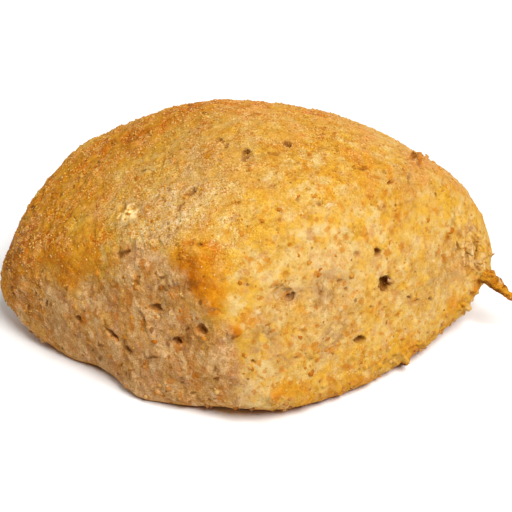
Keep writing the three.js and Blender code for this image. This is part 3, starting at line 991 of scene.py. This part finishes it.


# Crust: browned by its masks, then layer over layer of dough, crumbs, bran and specks, with painted shade in
# pores, pits and creases and painted light on clump tops
crustFinish = {
    "browningRamp": [
        (0.00, seen(248, 214, 140)),
        (0.20, seen(246, 197, 100)),
        (0.42, seen(239, 176, 56)),
        (0.62, seen(241, 154, 24)),
        (0.82, seen(204, 112, 10)),
        (1.00, seen(118, 66, 14)),
    ],
    "marks": {
        "tan": dict(colour=seen(208, 160, 100), share=0.75, rag=0.6),
        "bran": dict(colour=seen(214, 128, 28), share=0.75, rag=1.0),
        # brown: stains, and painted shade under a fold, in the tip's grooves and on the tail's lower side
        "brown": dict(colour=seen(140, 84, 30), share=0.8, rag=1.0),
        "pale": dict(colour=srgb(255, 222, 152), share=0.9, rag=0.15),
        # cream: pale crumb, and painted highlight on the tip's pleats and the tail's upper edge
        "cream": dict(colour=seen(255, 220, 156), share=0.75, rag=0.8),
        "mauve": dict(colour=seen(176, 126, 84), share=0.6, rag=1.0),
    },
    # painted shade inside pores and pits
    "poreShadeColour": seen(172, 106, 36),
    "poreShadeShare": 0.85,
    "pitShadeShare": 0.7,
    "baldColour": seen(236, 170, 52),
    "baldShare": 0.6,
    "glintColour": seen(255, 214, 128),
    "glintShare": 0.6,
    "upright": (1, 1, 0.6),         # the torn side's crumb is drawn upwards
    "noises": {                     # size, detail and roughness
        "blotch": (3.0 * mm, 5.0, 0.66),
        "ragged": (1.5 * mm, 4.0, 0.66),
        "coarse": (0.9 * mm, 3.0, 0.65),
        "fine": (0.34 * mm, 3.0, 0.7),
        "drift": (4 * mm, 2.0, 0.5),
    },
    "cuts": {                       # where each mask starts and is full
        "torn": (0.05, 0.9),
        "bare": (0.62, 0.3),
        "browned": (0.4, 0.62),
        "mark": (0.3, 0.9),
        "drift": (0.35, 0.65),
        "glint": (0.56, 0.68),
    },
    "blotches": 0.9,                # how far noise shifts the browning and the torn side's border
    "tornRag": 0.9,
    "markRag": (1.7, 0.7),          # by the coarse and the fine grain
    "greyLoss": {"bare": 0.5, "crown": 0.7, "bald": 0.7},       # what grey dough takes off other masks
    "leastDrift": 0.3,
    "baldLoss": {"dusted": 0.8, "grain": 0.6},
    "grain": 0.28,                  # grain tone with painted light where the bump rises and painted shade between, and more of it on each mask
    "grainOn": {"dust": 1.12, "browned": 0.35, "torn": 0.6, "crag": 0.6},
    "coarseGrain": 0.42,
    "paleSmooth": 0.85,             # the bare dough flap has little grain
    "clumpShade": 0.2,              # painted light on the tops of clumps of dough, painted shade in creases
    "clumpMiddle": 0.42,
    "clumpLeast": 0.3,
    "creaseShade": 0.2,
    # painted light on pleat crests, painted shade in their troughs
    "pleatShade": 0.9,
    "hueDepth": (1.5, 3),           # grains deepen in hue as they darken: powers for green and blue
    "fineBump": (0.4, 0.4),         # everywhere, and more where it is dusted
    "coarseBump": (0.9, 0.9),       # everywhere, and more where it is craggy
    "bumpStrength": 0.8,
    "bumpHeight": 0.24 * mm,
    "roughness": 0.72,
    "roughnessGrain": 0.3,
    "specular": 0.05,
}
# Soft patches of colour. Size in millimetres, cut is where the noise starts and is full, share is how much
# of the colour shows, on is its mask, and a bare patch shows only where the crust is little browned
crustPatches = {
    "torn crumb": dict(size=5.0, cut=(0.2, 0.5), share=0.85, on="torn", colour=seen(234, 168, 96)),
    "shaded crumb": dict(size=4.0, cut=(0.48, 0.6), share=0.7, on="torn", colour=seen(182, 118, 52)),
    "yellow crumb": dict(size=3.0, cut=(0.53, 0.63), share=0.6, on="torn", colour=seen(230, 168, 72)),
    "orange crumb": dict(size=3.2, cut=(0.54, 0.62), share=0.6, on="torn", colour=seen(222, 130, 30)),
    "mauve crumb": dict(size=3.6, cut=(0.51, 0.6), share=0.4, on="torn", colour=seen(206, 148, 108)),
    "pale crumb": dict(size=3.8, cut=(0.5, 0.59), share=0.9, on="torn", colour=seen(249, 197, 130)),
    "grey dough": dict(size=3.6, cut=(0.28, 0.56), share=0.9, on="grey", colour=seen(244, 199, 146)),
    "yellow crust": dict(size=3.4, cut=(0.48, 0.64), share=0.4, on="crown", colour=seen(234, 182, 60)),
    "orange crust": dict(size=3.0, cut=(0.52, 0.66), share=0.6, on="dust", colour=seen(222, 134, 16)),
    "red crust": dict(size=3.4, cut=(0.53, 0.57), share=0.7, on="browned", colour=seen(242, 122, 12)),
    "tan crust": dict(size=3.2, cut=(0.53, 0.58), share=0.75, on="browned", colour=seen(252, 178, 92)),
    "pale side": dict(size=3.4, cut=(0.48, 0.6), share=0.9, on="bare", colour=seen(252, 214, 138)),
    "dull side": dict(size=2.8, cut=(0.51, 0.65), share=0.7, on="bare", colour=seen(228, 166, 104)),
    "yellow side": dict(size=3.6, cut=(0.49, 0.6), share=0.75, on="bare", colour=seen(248, 186, 54)),
    "orange side": dict(size=2.6, cut=(0.56, 0.65), share=0.8, on="bare", colour=seen(238, 158, 42)),
    "dull dough": dict(size=2.4, cut=(0.38, 0.56), share=0.9, on="dull", colour=seen(204, 152, 92)),
    "burnt tail": dict(size=1.1, cut=(0.46, 0.58), share=0.75, on="tail", colour=seen(112, 58, 12)),
}
patchNoise = {"detail": 4.0, "roughness": 0.6}
# Bran flecks and specks, one in each cell that has one. Spacing and radius in millimetres, chance of a cell
crustFlecks = {
    "orange flecks": dict(spacing=3.0, radius=0.85, chance=0.6, share=0.75,
                          on="side", colour=seen(222, 138, 34)),
    "small orange flecks": dict(spacing=1.5, radius=0.4, chance=0.5, share=0.7,
                                on="side", colour=seen(222, 146, 50)),
    "orange crumbs": dict(spacing=2.6, radius=0.75, chance=0.5, share=0.75,
                          on="torn", colour=seen(220, 132, 36)),
    "brown crumbs": dict(spacing=2.0, radius=0.45, chance=0.5, share=0.8,
                         on="torn", colour=seen(156, 92, 28)),
    "orange bits": dict(spacing=2.2, radius=0.75, chance=0.5, share=0.8,
                        on="browned", colour=seen(206, 102, 8)),
    "brown bits": dict(spacing=2.0, radius=0.45, chance=0.45, share=0.6,
                       on="topCrust", colour=seen(166, 100, 28)),
    "dull specks": dict(spacing=0.9, radius=0.24, chance=0.5, share=0.4,
                        on=None, colour=seen(178, 130, 60)),
    "dark specks": dict(spacing=2.2, radius=0.28, chance=0.3, share=0.6,
                        on=None, colour=seen(122, 76, 28)),
}
fleckRule = {
    "rag": 2.0,                     # rims are ragged by noise this much finer than the fleck
    "ragReach": 1.5,
    "rim": (1.0, 0.65),
    "chanceFade": 0.8,
    "leastSize": 0.5,
}


def fleckShare(board, over, fleck, rule):      # round spots with ragged rims, each cell's own size
    radius = fleck["radius"] * mm
    sockets = {"Vector": over, "Scale": rule["rag"] / radius}
    rag = board.add("ShaderNodeTexNoise", None, sockets, "Color")
    sockets = {"Vector": rag, "Vector_001": (rule["ragReach"] * radius,) * 3, "Vector_002": over}
    ragged = board.add("ShaderNodeVectorMath", {"operation": "MULTIPLY_ADD"}, sockets)
    sockets = {"Vector": ragged, "Scale": 1 / (fleck["spacing"] * mm)}
    away = board.add("ShaderNodeTexVoronoi", None, sockets, "Distance") * (fleck["spacing"] / fleck["radius"])
    draw = {"Vector": board.add("ShaderNodeTexVoronoi", None, sockets, "Color")}
    has = board.add("ShaderNodeSeparateXYZ", None, draw, "X")
    has = has.ease(fleck["chance"], fleck["chance"] * rule["chanceFade"])
    size = rule["leastSize"] + board.add("ShaderNodeSeparateXYZ", None, draw, "Y")
    return (away / size).ease(*rule["rim"]) * has * fleck["share"]


def crustMaterial(finish, patches, flecks):
    material, board = newMaterial("whole_grain_crust")
    cuts = finish["cuts"]
    here = board.add("ShaderNodeTexCoord", None, None, "Object")
    upright = board.add("ShaderNodeMapping", None, {"Vector": here, "Scale": finish["upright"]})

    def noiseOf(name, over=here):
        return board.grainNoise(over, *finish["noises"][name])

    coarse = noiseOf("coarse")
    fine = noiseOf("fine")
    coarseTone = coarse - 0.5
    fineTone = fine - 0.5
    browning = board.named("browning")
    masks = {name: board.named(name) for name in ("grey", "dull", "torn", "topCrust", "dust", "crag", "tail")}

    def lessGrey(name):
        return 1 - finish["greyLoss"][name] * masks["grey"]

    ragged = noiseOf("ragged", upright) - 0.5       # breaks up the border of the torn side
    masks["torn"] = (masks["torn"] + finish["tornRag"] * ragged).ease(*cuts["torn"])
    masks["bare"] = browning.ease(*cuts["bare"]) * lessGrey("bare")
    masks["bare"] = masks["bare"] * (1 - masks["torn"]) * (1 - masks["tail"])
    masks["browned"] = masks["dust"] * browning.ease(*cuts["browned"])
    masks["crown"] = masks["topCrust"] * lessGrey("crown")
    masks["side"] = 1 - masks["topCrust"].most(masks["torn"])
    bald = board.named("bald") * masks["dust"] * lessGrey("bald")

    shift = finish["blotches"] * (noiseOf("blotch") - 0.5)
    stops = {"stops": finish["browningRamp"]}
    colour = board.add("ShaderNodeValToRGB", stops, {"Fac": browning + shift}, "Color")
    for patch in patches.values():
        over = upright if patch["on"] == "torn" else here
        share = board.grainNoise(over, patch["size"] * mm, **patchNoise).ease(*patch["cut"])
        colour = board.mix(share * patch["share"] * masks[patch["on"]], colour, patch["colour"])
    for fleck in flecks.values():
        share = fleckShare(board, upright if fleck["on"] == "torn" else here, fleck, fleckRule)
        if fleck["on"]:
            share = share * masks[fleck["on"]]
        colour = board.mix(share, colour, fleck["colour"])
    colour = board.mix(bald * finish["baldShare"], colour, finish["baldColour"])
    coarseRag, fineRag = finish["markRag"]
    for kind, mark in finish["marks"].items():
        rag = mark["rag"] * (coarseRag * coarseTone + fineRag * fineTone)
        share = (board.named(kind) + rag).ease(*cuts["mark"])
        colour = board.mix(share * mark["share"], colour, mark["colour"])
    # painted shade inside pores and pits
    hollow = board.named("hollow").most(board.named("pit") * finish["pitShadeShare"])
    colour = board.mix(hollow * finish["poreShadeShare"], colour, finish["poreShadeColour"])
    drift = finish["leastDrift"] + (1 - finish["leastDrift"]) * noiseOf("drift").ease(*cuts["drift"])
    dusted = masks["dust"] * drift * (1 - finish["baldLoss"]["dusted"] * bald)
    glint = fine.ease(*cuts["glint"]) * dusted
    colour = board.mix(glint * finish["glintShare"], colour, finish["glintColour"])

    coarseness = finish["grain"]
    for name, share in finish["grainOn"].items():
        coarseness = coarseness + share * masks[name]
    smooth = 1 - finish["paleSmooth"] * board.named("pale").ease(*cuts["mark"])
    coarseness = coarseness * (1 - finish["baldLoss"]["grain"] * bald)
    # grain tone, partly painted light where the bump rises and painted shade where it sinks
    level = 1 + (fineTone * coarseness + coarseTone * finish["coarseGrain"]) * smooth
    # painted light on clump tops and pleat crests, painted shade in creases and pleat troughs
    clumps = finish["clumpLeast"] + (1 - finish["clumpLeast"]) * masks["crag"]
    level = level + finish["clumpShade"] * (board.named("clump") - finish["clumpMiddle"]) * clumps
    level = level - finish["creaseShade"] * board.named("crease")
    level = level + finish["pleatShade"] * board.named("pleat")
    green, blue = finish["hueDepth"]
    shade = board.add("ShaderNodeCombineXYZ", None, {"X": level, "Y": level ** green, "Z": level ** blue})
    colour = board.mix(1.0, colour, shade, "MULTIPLY")

    anywhere, onDust = finish["fineBump"]
    height = (anywhere + onDust * dusted) * fine
    anywhere, onCrags = finish["coarseBump"]
    height = (height + (anywhere + onCrags * masks["crag"]) * coarse) * smooth
    sockets = {"Strength": finish["bumpStrength"], "Distance": finish["bumpHeight"], "Height": height}
    closeMaterial(board, {
        "Base Color": colour,
        "Roughness": finish["roughness"] + finish["roughnessGrain"] * fineTone,
        "Normal": board.add("ShaderNodeBump", None, sockets, "Normal"),
        "Specular IOR Level": finish["specular"],
    })
    return material


def trianglesOf(mesh):
    mesh.calc_loop_triangles()
    return len(mesh.loop_triangles)


crust = crustMaterial(crustFinish, crustPatches, crustFlecks)
roughBun = place("rough_bun", bunMesh)
reliefMesh = runTree(roughBun, reliefTree(crustRelief, reliefRule, crust), crustRelief)
bpy.data.objects.remove(roughBun)
moveCorners(reliefMesh, corners(reliefMesh))
reliefMesh.shade_smooth()
bun = place("bun_crust", reliefMesh)
print("crust relief", trianglesOf(reliefMesh), "triangles")


# Bits scattered over the crust: ovals of a few sides, turned and sized at random from the piece's own seed
scatterRule = {
    "oval": (1.25, 0.95),           # length and width of a bit against its radius
    "lean": 0.5,                    # radians off the crust, either way
    "smoothFrom": 6,                # bits with this many sides or more are shaded smooth
}


def scatterTree(name, sizes, material, densityMask, flat, sides):
    tree, board, inputs = nodeTree(name, sizes)

    def anyValue(kind, low, high, shift):
        sockets = {"Min": low, "Max": high, "Seed": inputs["Seed"] + shift}
        return board.add("FunctionNodeRandomValue", {"data_type": kind}, sockets, "Value")

    density = densityMask(board) * inputs["Density"]
    sockets = {"Mesh": inputs["Geometry"], "Density": density, "Seed": inputs["Seed"]}
    settings = {"distribute_method": "RANDOM"}
    points = board.add("GeometryNodeDistributePointsOnFaces", settings, sockets, "Points")
    facing = Wire(board, points.socket.node.outputs["Rotation"])
    sockets = {"Radius": inputs["Radius"], "Segments": sides, "Rings": max(2, sides // 2)}
    bit = board.add("GeometryNodeMeshUVSphere", None, sockets, "Mesh")
    sockets = {"Geometry": bit, "Scale": (*scatterRule["oval"], flat)}
    bit = board.add("GeometryNodeTransform", None, sockets)
    lean = scatterRule["lean"]
    spin = anyValue("FLOAT_VECTOR", (-lean, -lean, 0.0), (lean, lean, 2 * math.pi), 1)
    sockets = {"Rotation": facing, "Rotate By": spin}
    turned = board.add("FunctionNodeRotateRotation", {"rotation_space": "LOCAL"}, sockets)
    scale = anyValue("FLOAT", inputs["Least Scale"], inputs["Most Scale"], 2)
    sockets = {"Points": points, "Instance": bit, "Rotation": turned, "Scale": scale}
    bits = board.add("GeometryNodeInstanceOnPoints", None, sockets)
    sockets = {"Geometry": bits, "Name": "tint", "Value": anyValue("FLOAT", 0.0, 1.0, 3)}
    bits = board.add("GeometryNodeStoreNamedAttribute", {"data_type": "FLOAT", "domain": "INSTANCE"}, sockets)
    bits = board.add("GeometryNodeRealizeInstances", None, {"Geometry": bits})
    bits = board.add("GeometryNodeSetMaterial", None, {"Geometry": bits, "Material": material})
    board.add("NodeGroupOutput", None, {"Geometry": bits})
    return tree


def scatter(name, sizes, material, densityMask, flat, sides):
    holder = place("scatter_" + name, bun.data)
    mesh = runTree(holder, scatterTree(name + "_scatter", sizes, material, densityMask, flat, sides), sizes)
    bpy.data.objects.remove(holder)
    if sides >= scatterRule["smoothFrom"]:
        mesh.shade_smooth()
    print(name, trianglesOf(mesh), "triangles")
    return place(name, mesh)


def tintedMaterial(name, stops, roughness, specular, mottle=0.3, mottleSize=0.5 * mm):
    material, board = newMaterial(name)
    here = board.add("ShaderNodeTexCoord", None, None, "Object")
    shade = board.named("tint") + mottle * (board.grainNoise(here, mottleSize) - 0.5)
    colour = board.add("ShaderNodeValToRGB", {"stops": stops}, {"Fac": shade}, "Color")
    closeMaterial(board, {"Base Color": colour, "Roughness": roughness, "Specular IOR Level": specular})
    return material


def drifts(board, size, cut=(0.42, 0.62)):      # patches where bits lie closer
    here = board.add("GeometryNodeInputPosition")
    return board.grainNoise(here, size, 2.0).ease(*cut)


# Semolina dusting: small bright grains lying on the top crust
semolina = {
    "Density": 4.0e6,               # grains a square metre where the dusting is full
    "Radius": 0.19 * mm,
    "Least Scale": 0.3,
    "Most Scale": 1.7,
    "Seed": 5,
}
dusting = {"driftSize": 3 * mm, "between": 0.06, "stray": 0.01, "baldLoss": 0.85}
semolinaMaterial = tintedMaterial("semolina", [
    (0.0, seen(216, 138, 36)),
    (0.45, seen(236, 166, 58)),
    (0.8, seen(248, 196, 96)),
    (1.0, seen(252, 214, 134)),
], roughness=0.6, specular=0.06)


def dustingMask(board):
    drift = dusting["between"] + (1 - dusting["between"]) * drifts(board, dusting["driftSize"])
    dust = board.named("dust") * (1 - dusting["baldLoss"] * board.named("bald"))
    return (dust * drift + dusting["stray"]) * board.named("clearOfTray")


semolinaGrains = scatter("semolina_grains", semolina, semolinaMaterial, dustingMask, flat=0.8, sides=4)


# Bran flakes: coarse brown bits baked into the crust, more of them on the cut sides
bran = {
    "Density": 0.022e6,
    "Radius": 0.6 * mm,
    "Least Scale": 0.4,
    "Most Scale": 1.4,
    "Seed": 12,
}
branTopLoss = 0.6
branMaterial = tintedMaterial("bran", [
    (0.0, seen(204, 116, 20)),
    (0.5, seen(224, 140, 36)),
    (1.0, seen(236, 164, 60)),
], roughness=0.7, specular=0.1)


def branMask(board):
    return (1 - branTopLoss * board.named("topCrust")) * board.named("clearOfTray")


branFlakes = scatter("bran_flakes", bran, branMaterial, branMask, flat=0.12, sides=6)


# Crumbs: torn bits of dough caught along the lower edge and the tail
crumbs = {
    "Density": 0.16e6,
    "Radius": 0.42 * mm,
    "Least Scale": 0.5,
    "Most Scale": 1.5,
    "Seed": 23,
}
crumbPlaces = {"lowEdge": (11 * mm, 5 * mm), "driftSize": 5 * mm, "tail": 0.6}
crumbMaterial = tintedMaterial("crust_crumbs", [
    (0.0, seen(164, 92, 28)),
    (0.5, seen(216, 146, 54)),
    (1.0, seen(240, 190, 104)),
], roughness=0.7, specular=0.35)


def crumbMask(board):
    here = board.add("GeometryNodeInputPosition")
    height = board.add("ShaderNodeSeparateXYZ", None, {"Vector": here}, "Z")
    lowEdge = height.ease(*crumbPlaces["lowEdge"]) * drifts(board, crumbPlaces["driftSize"])
    return (lowEdge + board.named("tail") * crumbPlaces["tail"]) * board.named("clearOfTray")


crustCrumbs = scatter("crust_crumbs", crumbs, crumbMaterial, crumbMask, flat=0.8, sides=6)


# Stage: pale floor, one large soft key from the right front, even fill
stage = {
    "floorSpan": 6.0,
    "floorColour": (0.88, 0.88, 0.88, 1.0),
    "floorRoughness": 0.9,
    "floorSpecular": 0.1,
    "lampDistance": 1.6,
    "lampSize": 0.9,
    "lamps": {                      # direction and power
        "key_softbox": ((0.31, -0.44, 0.84), 35.0),
        "sky_softbox": ((-0.62, 0.05, 0.78), 5.0),      # weaker light over the left shoulder
        "back_softbox": ((0.25, 0.9, 0.25), 12.0),      # keeps the far side out of the dark
    },
    "fillColour": (1, 1, 1, 1),
    "fill": 0.08,
}


def layFloor(plan):
    grid = bmesh.new()
    bmesh.ops.create_grid(grid, x_segments=1, y_segments=1, size=plan["floorSpan"] / 2)
    mesh = bpy.data.meshes.new("floor")
    grid.to_mesh(mesh)
    grid.free()
    material, board = newMaterial("pale_floor")
    closeMaterial(board, {
        "Base Color": plan["floorColour"],
        "Roughness": plan["floorRoughness"],
        "Specular IOR Level": plan["floorSpecular"],
    })
    mesh.materials.append(material)
    return place("floor", mesh)


def setLights(plan):
    for name, (way, power) in plan["lamps"].items():
        lamp = bpy.data.lights.new(name, "AREA")
        lamp.shape = "DISK"
        lamp.size = plan["lampSize"]
        lamp.energy = power
        holder = place(name, lamp)
        out = Vector(way).normalized()
        holder.location = out * plan["lampDistance"]
        holder.rotation_euler = out.to_track_quat("Z", "Y").to_euler()
    world = bpy.data.worlds.new("studio")
    world.use_nodes = True
    sky = world.node_tree.nodes["Background"].inputs
    sky["Color"].default_value = plan["fillColour"]
    sky["Strength"].default_value = plan["fill"]
    bpy.context.scene.world = world
    bpy.context.scene.view_settings.view_transform = "Standard"


floor = layFloor(stage)
setLights(stage)
print("stage set")

for piece in (bun, semolinaGrains, branFlakes, crustCrumbs):
    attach(piece, "root")
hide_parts("bun")
